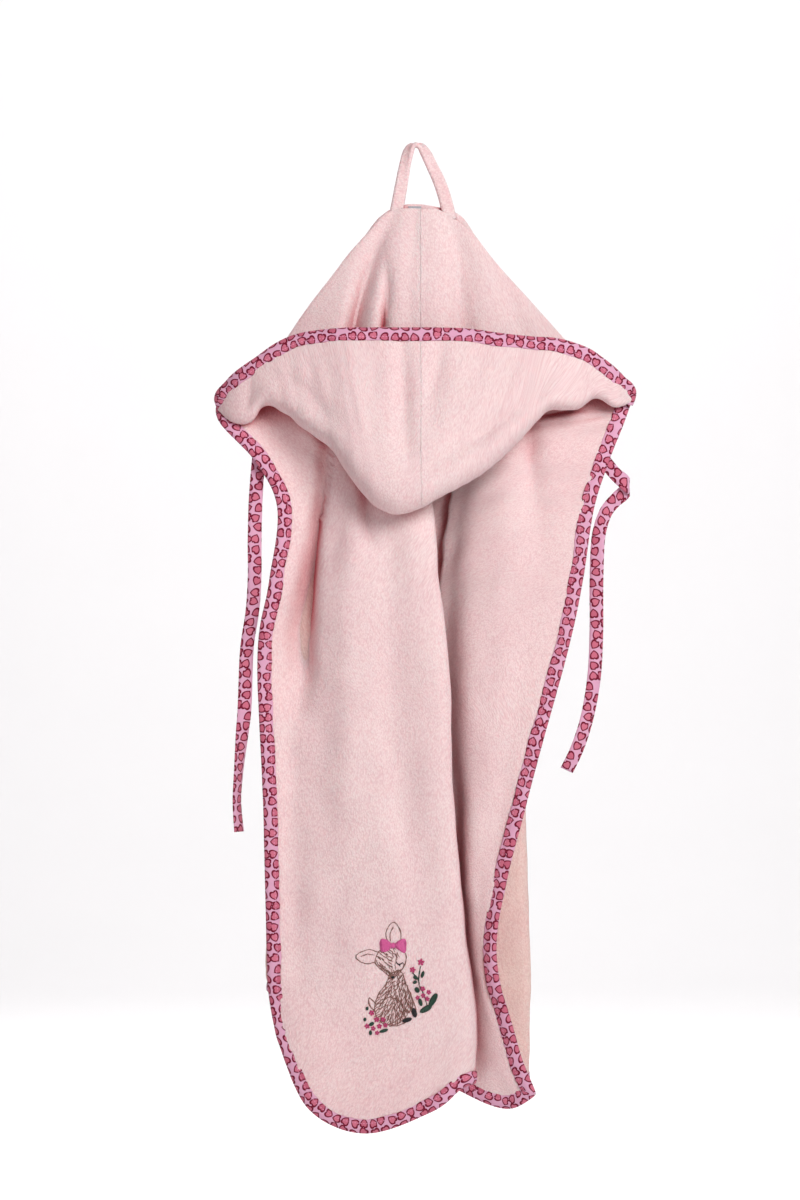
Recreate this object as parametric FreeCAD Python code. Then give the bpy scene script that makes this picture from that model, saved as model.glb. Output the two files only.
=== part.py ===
"""A hooded baby towel hanging by its nape loop from a peg.

Millimetres, +Z up, the wearer's outside towards -Y. The origin is where the loop bears on the peg.
The cape hangs in five overlapping layers. The hood hangs open end up in front of them, as a pouch
whose bound edge is its mouth. Each panel is a closed sheet with its real thickness.
"""
import FreeCAD
import Part
import math
import os

# Driving dimensions
TERRY = 4.0                # thickness of the looped terry cloth
TAPE_WIDTH = 12.5          # finished width of the printed binding and of the ties
TAPE_WALL = 0.8            # two plies of the cotton that the binding is folded from
TAPE_SLOT = TERRY + 2.0    # space between the binding's two walls
TAPE_FOLD = 1.0            # the tape's fold stands this far outside the cloth's edge
TAPE_FLOOR = 0.4           # and the slot's floor this far outside it
TIE_THICK = 1.6            # four plies of the same cotton
LOOP_THICK = 4.0
LOOP_WIDTH = (9.0, 12.5)   # at the peg and where it is sewn in
THREAD = 0.8               # how far the embroidery stands off the cloth
THREAD_GAP = 0.1           # room between the cloth and its embroidery
LABEL_THICK = 0.6
BODY_GAP = 0.6             # room between pieces that move apart
SEAM_GAP = 0.6             # room between panels that are sewn edge to edge
LAYER_GAP = 1.2            # room between panels that are sewn face to face
HOOD_TOP_GAP = 1.0         # the mouth's cloth ends this far inside its binding

# The neckline seam, from the left neck corner over the nape to the right neck corner (x, z)
NECKLINE = [
    (-180, -230), (-165, -222), (-148, -211), (-122, -182), (-92, -138), (-60, -98), (-24, -55),
    (4, -54), (36, -58), (67, -98), (103, -138), (137, -176), (160, -200), (181, -213), (198, -222),
]
NECK_Y = 4.0

# How the cape folds, at falling heights: the bound left edge, the folds in the order that the cloth
# takes them, the bound right edge (all x), and how deep the folds are, from 0 to 1.
#    z    left  fold1 fold2 fold3 fold4 right depth
FOLDS = [
    (-250, -177, -6, -44, 70, 50, 188, 0.60),
    (-288, -143, 7, -68, 79, 43, 173, 0.85),
    (-330, -124, 17, -90, 88, 36, 160, 1.00),
    (-395, -132, 25, -108, 92, 31, 150, 1.00),
    (-460, -142, 29, -118, 96, 22, 136, 1.00),
    (-600, -137, 38, -128, 100, 4, 98, 1.00),
    (-720, -134, 49, -134, 102, -4, 72, 1.00),
]
# The last two rows of each control line: (x, z) a little above the hem, and at the hem.
LOW_ROWS = [
    [(-132, -768), (-100, -785), (-42, -802), (18, -800), (44, -792), (54, -788), (46, -785),
     (-40, -760), (-124, -745), (-134, -745), (-124, -745), (-52, -760), (30, -785), (92, -795),
     (104, -795), (94, -797), (56, -800), (8, -802), (-2, -802), (40, -804), (62, -806), (89, -808)],
    [(-125, -806), (-97, -869), (-46, -891), (14, -871), (40, -851), (51, -847), (42, -844),
     (-44, -788), (-122, -769), (-134, -768), (-122, -769), (-50, -784), (32, -832), (93, -846),
     (105, -847), (95, -847), (62, -849), (26, -853), (14, -853), (30, -854), (80, -872), (108, -858)],
]
# The depth y of each control line, in the upper half of the cape and towards its hem
DEPTHS = [
    -20, -14, -27, -30, -28, -21, -13, -4, 6, 14, 22, 32, 38, 40, 37, 32, 31, 30.5, 25, 18, -4, -10,
]
LOW_DEPTHS = [
    -20.6, -23.2, -27, -30, -28, -21, -13, -4, 5, 14, 23, 32, 40, 43, 37, 31, 31, 31, 25, 18, -4, -18,
]
DEPTHS_CHANGE = (-460, -720)    # between these heights the one turns into the other
CAPE_STEPS = 3             # samples between two control lines
CORNER_SHARE = 0.15        # the binding turns the hem's right corner within this share of a sample

# The hood in vertical slices: x, then the z of the seam, of the pouch's lowest fold and of the
# mouth, then the y of the back layer, of the fold and of the mouth.
HOOD = [
    (-177, -227, -232, -221, -11, -18, -23),
    (-160, -219, -236, -204, -12, -24, -27),
    (-140, -206, -238, -190, -14, -31, -32),
    (-113, -168, -246, -174, -18, -42, -36),
    (-76, -117, -274, -168, -24, -58, -42),
    (-43, -77, -318, -167, -32, -68, -45),
    (-17, -56, -333, -167, -38, -72, -46),
    (4, -56, -327, -167, -38, -72, -46),
    (21, -57, -317, -167, -37, -71, -46),
    (48, -75, -304, -168, -34, -68, -44),
    (80, -114, -279, -172, -26, -60, -42),
    (118, -158, -243, -174, -20, -44, -38),
    (150, -192, -238, -182, -16, -32, -32),
    (178, -212, -234, -201, -13, -25, -26),
    (195, -221, -228, -217, -11, -19, -22),
]
HOOD_SEAM_X = 4.0          # the centre seam, from the nape round the fold to the mouth

# The ties, from where they are sewn to the binding to their free ends (x, y, z)
LEFT_TIE = [
    (-142, -9.5, -283), (-145, -9.5, -318), (-146, -9.5, -358), (-146, -9.5, -390), (-148, -10.5, -421),
    (-153, -11.5, -456), (-155, -12.5, -508), (-157, -12.5, -530), (-160, -11.5, -561), (-162, -11.5, -593),
    (-160, -11.5, -621),
]
RIGHT_TIE = [
    (168, -1, -280), (177, -1, -293), (187, -1, -302), (194, 1, -309), (191, 4, -316),
    (183, 5, -321), (174, 4, -328), (168, 3, -343), (165, 2, -362), (164, 2, -400), (164, 2, -440),
    (162, 2, -480), (156, 2, -516), (147, 2, -545), (137, 2, -566),
]
LOOP = [
    (-16, 0, -50), (-14.5, 0, -38), (-11, 0, -23), (-7.3, 0, -8), (-3.8, 0, 0.2), (0, 0, LOOP_THICK / 2),
    (4.2, 0, 0.2), (9.5, 0, -8), (17, 0, -23), (24, 0, -39), (28, 0, -52),
]
LABEL = (-8.0, 5.0, -64.0, -50.5, 1.7)    # the blank care label's x, its z and the y of its back

# The embroidery: round or pointed patches of satin stitch, as (x, z, half width, half height, tilt)
FAWN = [(-16, -776, 14, 19, 10), (-22, -742, 12, 9, 0), (-21, -707, 5, 8, -8), (-48, -735, 10, 4, -20)]
BOW = [(-27, -722, 6, 4.5, 15), (-14, -722, 6, 4.5, -15)]
FLOWERS = [(5, -738, 5, 5, 0), (4, -752, 4, 4, 0), (12, -771, 5, 5, 0), (-35, -790, 6, 6, 0),
           (-45, -797, 4, 4, 0)]
LEAVES = [(10, -745, 4, 2, 40), (12, -758, 2, 5, 10), (20, -781, 5, 2, 30), (-30, -803, 5, 1.6, 0)]
HOOVES = [(0.5, -781, 2.4, 3.5, 0), (1.5, -789.5, 4, 2, 0)]
PATCH_SIDES = 16


def vec(p):
    return FreeCAD.Vector(*p)


def mix(a, b, t):
    """The point a part t of the way from a to b."""
    return [p + (q - p) * t for p, q in zip(a, b)]


def between(rows, t):
    """A smooth curve through the rows, which are numbered 0, 1, 2 and so on, read at t."""
    i = min(int(t), len(rows) - 2)
    s = t - i
    a, b = rows[i], rows[i + 1]
    before = rows[i - 1] if i else a
    after = rows[i + 2] if i + 2 < len(rows) else b
    out = []
    for p0, p1, p2, p3 in zip(before, a, b, after):
        m1, m2 = (p2 - p0) / 2, (p3 - p1) / 2
        curve = (2 * s**3 - 3 * s**2 + 1) * p1 + (s**3 - 2 * s**2 + s) * m1
        out.append(curve + (3 * s**2 - 2 * s**3) * p2 + (s**3 - s**2) * m2)
    return out


def along(points, count):
    """Points evenly spaced by length on the smooth curve through the given ones."""
    fine = [between(points, i / 8) for i in range(8 * (len(points) - 1) + 1)]
    reach = [0.0]
    for a, b in zip(fine, fine[1:]):
        reach.append(reach[-1] + math.dist(a, b))
    out, k = [], 0
    for i in range(count):
        want = reach[-1] * i / (count - 1)
        while k < len(fine) - 2 and reach[k + 1] < want:
            k += 1
        span = reach[k + 1] - reach[k]
        out.append(mix(fine[k], fine[k + 1], (want - reach[k]) / span if span else 0))
    return out


def normals(grid):
    """The unit normal of the grid's surface at each of its points."""
    rows, cols = len(grid), len(grid[0])
    out = []
    for j in range(rows):
        line = []
        for i in range(cols):
            across = vec(grid[j][min(i + 1, cols - 1)]) - vec(grid[j][max(i - 1, 0)])
            down = vec(grid[min(j + 1, rows - 1)][i]) - vec(grid[max(j - 1, 0)][i])
            line.append(across.cross(down).normalize())
        out.append(line)
    return out


def knots(count):
    """How often each knot of a cubic spline with this many poles repeats, and the knots."""
    spans = count - 3
    return [4] + [1] * (spans - 1) + [4], [float(k) for k in range(spans + 1)]


def surface(grid):
    """A smooth face that follows a grid of points."""
    repeats_down, knots_down = knots(len(grid))
    repeats_across, knots_across = knots(len(grid[0]))
    face = Part.BSplineSurface()
    face.buildFromPolesMultsKnots(
        grid, repeats_down, repeats_across, knots_down, knots_across, False, False, 3, 3
    )
    return face


def smooth_line(points):
    """A smooth edge that follows the points."""
    line = Part.BSplineCurve()
    line.buildFromPolesMultsKnots(list(points), *knots(len(points)), False, 3)
    return line.toShape()


def offset(grid, far):
    """The surface that far from the grid's, along its normals."""
    return surface([[vec(p) + n * far for p, n in zip(*rows)] for rows in zip(grid, normals(grid))])


def sheet(grid, thick):
    """A closed solid: the grid's surface given a thickness, half of it on each side."""
    sides = [offset(grid, thick / 2), offset(grid, -thick / 2)]
    faces = [side.toShape() for side in sides]
    for read in (
        lambda s: s.uIso(s.bounds()[0]), lambda s: s.uIso(s.bounds()[1]),
        lambda s: s.vIso(s.bounds()[2]), lambda s: s.vIso(s.bounds()[3]),
    ):
        faces.append(Part.makeRuledSurface(read(sides[0]).toShape(), read(sides[1]).toShape()))
    return closed(faces)


def closed(faces):
    """One solid from the faces that enclose it."""
    shell = Part.makeShell(faces)
    shell.sewShape()
    solid = Part.Solid(Part.Shell(shell.Faces))
    if solid.Volume < 0:
        solid.reverse()
    return solid


def swept(sections):
    """A closed solid whose section, a flat polygon, changes along a smooth line."""
    lines = [smooth_line(corner) for corner in zip(*sections)]
    faces = [Part.makeRuledSurface(a, b) for a, b in zip(lines, lines[1:] + lines[:1])]
    for section in (sections[0], sections[-1]):
        faces.append(Part.Face(Part.makePolygon(section + section[:1])))
    return closed(faces)


def ribbon(points, width, thick, face):
    """A flat strip along the points. Width and face, the way it faces, are functions from 0 to 1."""
    count = max(12, 3 * len(points))
    line = [vec(p) for p in along(points, count)]
    sections = []
    for i, p in enumerate(line):
        run = line[min(i + 1, count - 1)] - line[max(i - 1, 0)]
        side = run.cross(vec(face(i / (count - 1)))).normalize()
        out = side.cross(run).normalize()
        w, t = side * (width(i / (count - 1)) / 2), out * (thick / 2)
        sections.append([p + w + t, p - w + t, p - w - t, p + w - t])
    return swept(sections)


def binding(edge, inward, facing):
    """The folded tape over a raw edge: a channel whose slot the cloth's edge lies in."""
    sections = []
    for i, p in enumerate(edge):
        out = facing[i].normalize()
        into = (inward[i] - out * inward[i].dot(out)).normalize()
        wall, slot = out * (TAPE_SLOT / 2 + TAPE_WALL), out * (TAPE_SLOT / 2)
        deep, floor = into * (TAPE_WIDTH - TAPE_FOLD), into * TAPE_FLOOR
        top = into * -TAPE_FOLD
        sections.append([
            p + wall + top, p + wall + deep, p + slot + deep, p + slot - floor,
            p - slot - floor, p - slot + deep, p - wall + deep, p - wall + top,
        ])
    return swept(sections)


def cape_controls():
    """The cape's control lines, row by row: across each row the lines run from edge to edge."""
    lines = len(DEPTHS)
    neck = along([(x, NECK_Y, z) for x, z in NECKLINE], lines)
    rows = [neck]
    for z, left, fold1, fold2, fold3, fold4, right, depth in FOLDS:
        shelf = max(fold4 + 9, fold1 + 2)
        xs = [left, mix([left], [fold1], 0.25)[0], mix([left], [fold1], 0.5)[0],
              mix([left], [fold1], 0.8)[0], fold1 - 8, fold1, fold1 - 8,
              (fold1 + fold2) / 2, fold2 + 10, fold2, fold2 + 10,
              mix([fold2], [fold3], 0.33)[0], mix([fold2], [fold3], 0.67)[0], fold3 - 10, fold3,
              fold3 - 9, (fold3 + fold4) / 2, fold4 + 9, fold4, shelf,
              mix([shelf], [right], 0.25)[0], right]
        start, end = DEPTHS_CHANGE
        ys = mix(DEPTHS, LOW_DEPTHS, min(1, max(0, (start - z) / (start - end))))
        rows.append([[x, y * depth, z] for x, y in zip(xs, ys)])
    for low in LOW_ROWS:
        rows.append([[x, y, z] for (x, z), y in zip(low, LOW_DEPTHS)])
    return rows


def cape_grid():
    """The cape's middle surface as rows of points, from the neckline to the hem."""
    rows = cape_controls()
    fine_rows = []
    for j in range(2 * (len(rows) - 1) + 1):
        fine_rows.append([between(column, j / 2) for column in zip(*rows)])
    steps = CAPE_STEPS * (len(DEPTHS) - 1)
    return [[between(row, i / CAPE_STEPS) for i in range(steps + 1)] for row in fine_rows]


def hood_slice(x):
    """The hood's seam, lowest fold and mouth at x, each as (y, z), and the back layer's y."""
    i = max(k for k in range(len(HOOD) - 1) if HOOD[k][0] <= x or k == 0)
    t = i + (x - HOOD[i][0]) / (HOOD[i + 1][0] - HOOD[i][0])
    _, seam, fold, mouth, y_back, y_fold, y_mouth = between(HOOD, t)
    return seam, fold, mouth, y_back, y_fold, y_mouth


def hood_back(x):
    """The hood's back layer at x, from the neckline seam down to the pouch's lowest fold."""
    seam, fold, _, y_back, y_fold, _ = hood_slice(x)
    y_seam = NECK_Y - TERRY - LAYER_GAP
    low = fold + 1
    return [
        (x, y_seam, seam), (x, mix([y_seam], [y_back], 0.45)[0], mix([seam], [low], 0.33)[0]),
        (x, mix([y_seam], [y_back], 0.85)[0], mix([seam], [low], 0.67)[0]),
        (x, y_back, mix([seam], [low], 0.9)[0]), (x, mix([y_back], [y_fold], 0.25)[0], low),
    ]


def hood_front(x):
    """The hood's front layer at x, from the pouch's lowest fold up to its mouth."""
    _, fold, mouth, y_back, y_fold, y_mouth = hood_slice(x)
    tall = mouth - HOOD_TOP_GAP - fold
    return [
        (x, mix([y_back], [y_fold], 0.45)[0] - BODY_GAP - TERRY / 2, fold), (x, y_fold, fold + 0.12 * tall),
        (x, mix([y_fold], [y_mouth], 0.2)[0], fold + 0.4 * tall),
        (x, mix([y_fold], [y_mouth], 0.7)[0], fold + 0.75 * tall), (x, y_mouth, mouth - HOOD_TOP_GAP),
    ]


def hood_panel(read, start, stop):
    """One half of a layer of the hood, between two values of x."""
    columns = 9
    grid = []
    for i in range(columns):
        line = read(start + (stop - start) * i / (columns - 1))
        grid.append([between(line, k / 3) for k in range(3 * (len(line) - 1) + 1)])
    return sheet(grid, TERRY)


def hood_binding():
    """The tape over the hood's mouth, from neck corner to neck corner."""
    count = 41
    low, high = HOOD[0][0] - 1, HOOD[-1][0] + 1
    edge, inward, facing = [], [], []
    for i in range(count):
        x = low + (high - low) * i / (count - 1)
        line = hood_front(min(max(x, HOOD[0][0]), HOOD[-1][0]))
        top, under = vec(line[-1]), vec(line[-2])
        edge.append(FreeCAD.Vector(x, top.y, top.z))
        inward.append(under - top)
    for i in range(count):
        run = edge[min(i + 1, count - 1)] - edge[max(i - 1, 0)]
        facing.append(run.cross(inward[i]))
    return binding(edge, inward, facing)


def cape_binding(grid):
    """The tape down the left edge, round the hem and up the right edge of the cape."""
    up = normals(grid)
    bottom, last = len(grid) - 1, len(grid[0]) - 1
    places = [(j, 0) for j in range(1, bottom)]
    places += [(bottom, i) for i in range(last + 1)]
    places += [(j, last) for j in range(bottom - 1, 0, -1)]
    edge = [vec(grid[j][i]) for j, i in places]
    facing = [up[j][i] for j, i in places]
    corner = places.index((bottom, last))
    for k, share in ((corner + 1, CORNER_SHARE), (corner, 1 - CORNER_SHARE)):
        edge.insert(k, vec(mix(edge[k - 1], edge[k], share)))
        facing.insert(k, vec(mix(facing[k - 1], facing[k], share)))
    inward = []
    for k in range(len(edge)):
        run = edge[min(k + 1, len(edge) - 1)] - edge[max(k - 1, 0)]
        inward.append(run.cross(facing[k]).normalize())
    return binding(edge, inward, facing)


def front_of(cloth, x, z):
    """Where a line along Y at (x, z) meets the cloth's front surface."""
    hits, _ = Part.LineSegment(vec((x, -200, z)), vec((x, 200, z))).intersectCS(cloth)
    return min(hit.Y for hit in hits)


def patch(cloth, x, z, wide, tall, tilt):
    """A raised oval of satin stitch that lies on the cloth."""
    turn = math.radians(tilt)
    rings = [[], []]
    places = [(0.0, 0.0)]
    for k in range(PATCH_SIDES):
        angle = 2 * math.pi * k / PATCH_SIDES
        places.append((wide * math.cos(angle), tall * math.sin(angle)))
    for dx, dz in places:
        px = x + dx * math.cos(turn) - dz * math.sin(turn)
        pz = z + dx * math.sin(turn) + dz * math.cos(turn)
        y = front_of(cloth, px, pz) - THREAD_GAP
        rings[0].append(FreeCAD.Vector(px, y, pz))
        rings[1].append(FreeCAD.Vector(px, y - THREAD, pz))
    faces = []
    for k in range(1, PATCH_SIDES + 1):
        nxt = k % PATCH_SIDES + 1
        for ring in rings:
            faces.append(Part.Face(Part.makePolygon([ring[0], ring[k], ring[nxt], ring[0]])))
        low, high = rings
        faces.append(Part.Face(Part.makePolygon([low[k], low[nxt], high[k], low[k]])))
        faces.append(Part.Face(Part.makePolygon([low[nxt], high[nxt], high[k], low[nxt]])))
    return closed(faces)


def embroidery(cloth, patches):
    """The patches of one thread colour, on the cloth's front surface."""
    return Part.makeCompound([patch(cloth, *p) for p in patches])


def loop():
    """The hanging loop: its strip lies flat over the peg and turns to face forward at its ends."""
    top, ends = LOOP_WIDTH

    def width(t):
        return top + (ends - top) * abs(2 * t - 1)

    def face(t):
        turn = math.pi / 2 * min(1, 1.5 * abs(2 * t - 1))
        lean = 1.4 * (2 * t - 1)
        return (math.cos(turn) * math.sin(lean), -math.sin(turn), math.cos(turn) * math.cos(lean))

    return ribbon(LOOP, width, LOOP_THICK, face)


def tie(points):
    return ribbon(points, lambda t: TAPE_WIDTH, TIE_THICK, lambda t: (0, 1, 0))


def label():
    low_x, high_x, low_z, high_z, back = LABEL
    corner = vec((low_x, back - LABEL_THICK, low_z))
    return Part.makeBox(high_x - low_x, LABEL_THICK, high_z - low_z, corner)


def main():
    os.makedirs("parts", exist_ok=True)
    grid = cape_grid()
    front = offset([row[:5 * CAPE_STEPS] for row in grid], -TERRY / 2)
    left, right = HOOD[0][0], HOOD[-1][0]
    seam_left, seam_right = HOOD_SEAM_X - SEAM_GAP / 2, HOOD_SEAM_X + SEAM_GAP / 2
    shapes = {
        "body_panel": sheet(grid, TERRY),
        "body_edge_binding": cape_binding(grid),
        "hood_left_panel_back": hood_panel(hood_back, left, seam_left),
        "hood_right_panel_back": hood_panel(hood_back, seam_right, right),
        "hood_left_panel_front": hood_panel(hood_front, left, seam_left),
        "hood_right_panel_front": hood_panel(hood_front, seam_right, right),
        "hood_edge_binding": hood_binding(),
        "left_tie": tie(LEFT_TIE),
        "right_tie": tie(RIGHT_TIE),
        "hanging_loop": loop(),
        "care_label": label(),
        "fawn_embroidery": embroidery(front, FAWN),
        "bow_embroidery": embroidery(front, BOW),
        "flower_embroidery": embroidery(front, FLOWERS),
        "leaf_embroidery": embroidery(front, LEAVES),
        "hoof_embroidery": embroidery(front, HOOVES),
    }
    for name, shape in shapes.items():
        shape.exportStep(f"parts/{name}.step")
        print(f"{name}: {shape.Volume / 1000:.1f} cm3, valid {shape.isValid()}, solids {len(shape.Solids)}")


main()
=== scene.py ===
import math

import bmesh
import bpy
import numpy as np
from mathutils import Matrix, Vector
from mathutils.bvhtree import BVHTree


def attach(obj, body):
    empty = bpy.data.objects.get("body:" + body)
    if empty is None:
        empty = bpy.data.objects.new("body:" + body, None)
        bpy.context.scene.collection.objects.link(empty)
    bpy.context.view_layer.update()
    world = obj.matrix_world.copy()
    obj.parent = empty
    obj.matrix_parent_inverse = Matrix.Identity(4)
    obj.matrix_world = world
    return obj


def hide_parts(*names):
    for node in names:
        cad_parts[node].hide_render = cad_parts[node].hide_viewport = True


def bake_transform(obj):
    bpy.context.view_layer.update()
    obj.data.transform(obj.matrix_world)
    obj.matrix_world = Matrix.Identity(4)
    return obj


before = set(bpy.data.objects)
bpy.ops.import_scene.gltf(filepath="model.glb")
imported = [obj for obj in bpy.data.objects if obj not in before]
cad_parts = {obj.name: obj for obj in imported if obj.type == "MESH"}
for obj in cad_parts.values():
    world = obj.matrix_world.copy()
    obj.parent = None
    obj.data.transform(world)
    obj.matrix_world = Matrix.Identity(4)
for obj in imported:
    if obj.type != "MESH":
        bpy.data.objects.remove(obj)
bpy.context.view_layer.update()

MM = 0.001
RNG = np.random.default_rng(11)

TERRY = 4.0                # thickness of the terry
TAPE = 12.5                # finished width of the binding and of the ties
TAPE_STEP = 2.5            # spacing of the sections along a binding
TIE_THICK = 1.6
LOOP_WIDE, LOOP_THICK = 11.5, 4.4
GRID = 4.0                 # spacing of the cloth's mesh
NECK_Y = 4.0               # the neckline seam's y
HOOD_SEAM_X = 4.0          # the x of the hood's centre seam
INSIDE_UV = 2000           # sets the pattern of a cloth's inside apart from its outside's

NECKLINE = [
    (-180, -230), (-165, -222), (-148, -211), (-122, -182), (-92, -138), (-60, -98), (-24, -55),
    (4, -54), (36, -58), (67, -98), (103, -138), (137, -176), (160, -200), (181, -213), (198, -222),
]
#    z    left  fold1 fold2 fold3 fold4 right depth
FOLDS = [
    (-250, -177, -8, -44, 70, 50, 188, 0.60),
    (-288, -143, 4, -68, 79, 40, 173, 0.85),
    (-330, -124, 13, -90, 88, 31, 160, 1.00),
    (-395, -132, 20, -108, 92, 24, 150, 1.00),
    (-460, -142, 26, -118, 96, 18, 136, 1.00),
    (-600, -137, 32, -128, 100, 4, 98, 1.00),
    (-720, -134, 43, -134, 102, -4, 72, 1.00),
]
# The last two rows of each control line: a little above the hem, and at the hem.
LOW_ROWS = [
    [(-132, -768), (-100, -785), (-42, -802), (18, -800), (41, -792), (50, -788), (43, -785),
     (-40, -760), (-124, -745), (-134, -745), (-124, -745), (-52, -760), (30, -785), (92, -795),
     (104, -795), (94, -797), (56, -800), (8, -802), (-2, -802), (40, -804), (62, -806), (89, -808)],
    [(-125, -806), (-97, -869), (-46, -891), (14, -871), (40, -851), (51, -847), (42, -844),
     (-44, -788), (-122, -769), (-134, -768), (-122, -769), (-50, -784), (32, -832), (91, -851),
     (102, -857), (93, -856), (62, -852), (26, -853), (14, -853), (30, -854), (80, -872), (108, -858)],
]
DEPTHS = np.array([
    -20, -14, -27, -30, -28, -21, -13, -4, 6, 14, 22, 32, 38, 40, 37, 32, 31, 30.5, 25, 18, -4, -10,
])
LOW_DEPTHS = np.array([
    -20.6, -23.2, -27, -30, -28, -21, -13, -4, 5, 14, 23, 32, 40, 43, 37, 31, 31, 31, 25, 18, -4, -18,
])
DEPTHS_CHANGE = (-460, -720)    # between these heights the one turns into the other
# Soft creases: the control lines they lie between, then points (x, z, depth, width left, width right).
# A positive depth sinks away from the viewer. A sixth value, where given, is how far the right side
# leans over the crease, which also gives it a flatter floor.
CREASES = [
    (0, 5, [(-76, -250, 8, 10, 3.5, 1), (-80, -308, 11, 12, 3.5, 2), (-86, -364, 17, 15, 4, 4),
            (-89, -400, 21, 20, 5, 5), (-95, -440, 21, 25, 7, 3), (-104, -485, 15, 24, 12, 0),
            (-116, -530, 0, 20, 14, 0)]),
    (0, 5, [(-43, -300, 8, 8, 7), (-43, -345, 6, 7, 6), (-41, -378, 0, 7, 6)]),
    (0, 5, [(-26, -330, 0, 14, 14), (-23, -375, 5, 14, 16), (-21, -460, 7, 15, 20),
            (-19, -537, 7, 15, 22), (-8, -620, 6, 15, 22), (4, -681, 4, 15, 20), (8, -760, 0, 15, 15)]),
    (0, 5, [(-60, -340, -2, 12, 12), (-62, -420, -3, 14, 14), (-62, -560, -3, 16, 16),
            (-58, -700, -2, 18, 18), (-56, -800, 0, 18, 18)]),
    (0, 5, [(-114, -500, 0, 12, 12), (-113, -560, 6, 13, 13), (-112, -640, 6, 13, 14),
            (-108, -716, 4, 12, 14), (-104, -780, 0, 12, 14)]),
    (18, 21, [(101, -240, 8, 8, 8), (103, -285, 8, 8, 9), (108, -330, 4, 12, 12), (115, -400, 0, 12, 12)]),
    (18, 21, [(80, -270, -3, 12, 12), (84, -360, -3, 16, 16), (80, -460, -2, 16, 16),
              (70, -560, 0, 16, 16)]),
    (18, 21, [(104, -430, 1, 14, 14), (92, -520, 3, 14, 14), (78, -620, 2, 12, 12), (66, -720, 0, 10, 10)]),
]
# The hood in vertical slices: x, then the z of the seam, of the pouch's lowest fold and of the
# mouth, then the y of the back layer, of the fold and of the mouth.
HOOD = [
    (-178, -228, -238, -222, -6, -10, -14),
    (-168, -224, -247, -210, -9, -19, -22),
    (-158, -218, -250, -202, -12, -24, -28),
    (-149, -212, -248, -196, -13, -27, -30),
    (-140, -206, -236, -190, -14, -35, -32),
    (-129, -193, -235, -182, -15, -40, -34),
    (-113, -168, -244, -174, -18, -46, -36),
    (-96, -143, -258, -170, -20, -53, -39),
    (-76, -117, -274, -168, -24, -60, -42),
    (-60, -96, -296, -167, -28, -65, -44),
    (-43, -77, -319, -167, -32, -69, -45),
    (-30, -62, -329, -167, -35, -71, -46),
    (-17, -56, -333, -167, -38, -72, -46),
    (4, -56, -327, -167, -38, -72, -46),
    (21, -57, -317, -167, -37, -71, -46),
    (48, -75, -304, -168, -34, -68, -44),
    (70, -102, -287, -171, -29, -63, -43),
    (86, -121, -272, -173, -25, -58, -41),
    (98, -134, -261, -174, -23, -52, -40),
    (108, -146, -248, -175, -21, -46, -39),
    (118, -158, -239, -175, -19, -43, -38),
    (132, -173, -238, -177, -18, -40, -36),
    (146, -189, -236, -181, -16, -35, -33),
    (158, -200, -229, -186, -15, -30, -31),
    (168, -206, -229, -193, -14, -27, -28),
    (180, -213, -235, -202, -11, -21, -23),
    (196, -221, -230, -218, -6, -10, -14),
]
# Creases of the hood's back layer and of its front layer, as in CREASES without the control lines.
BACK_CREASES = [
    [(-19, -60, 3, 5, 5), (-34, -88, 8, 8, 8), (-47, -125, 13, 9, 9), (-55, -155, 16, 7, 10),
     (-60, -190, 16, 7, 10)],
    [(-25, -98, 0, 4, 4), (-26, -125, 6, 4, 4), (-29, -160, 12, 4.5, 4), (-31, -190, 13, 5, 4)],
    [(30, -62, 2, 8, 8), (38, -100, 8, 9, 14), (40, -150, 12, 9, 16), (40, -190, 12, 9, 16)],
    [(72, -104, 0, 7, 7), (90, -140, 2, 9, 9), (98, -190, 3, 10, 10)],
    [(0, -62, 1, 3, 3), (-5, -120, 1.5, 4, 4), (-7, -190, 1, 5, 5)],
]
FRONT_CREASES = [
    [(118, -214, 2, 14, 9), (92, -240, 6, 18, 11), (60, -262, 8, 20, 12), (17, -292, 6, 17, 12),
     (0, -312, 0, 12, 10)],
    [(-12, -174, 2, 7, 6), (-11, -230, 7, 8, 8), (-8, -292, 3, 9, 8)],
    [(22, -176, 2, 7, 8), (17, -215, 5, 9, 10), (10, -250, 3, 10, 10)],
    [(-66, -180, -3, 18, 18), (-58, -230, -5, 18, 18), (-48, -290, -2, 14, 14)],
    [(-120, -205, 0, 14, 10), (-100, -222, 3, 16, 10), (-80, -246, 3, 16, 10), (-64, -268, 0, 12, 10)],
]

# Where the mouth's tape turns round the neck corners, from the mouth down to the cape's own tape
LEFT_CORNER = np.array([(-174, -19, -217), (-179, -16, -222), (-182, -13, -228), (-181, -10, -234),
                        (-177, -8, -240)], float)
RIGHT_CORNER = np.array([(190, -18, -212), (196, -15, -217), (199, -12, -223), (198, -9, -229),
                         (195, -7, -236)], float)

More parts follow.
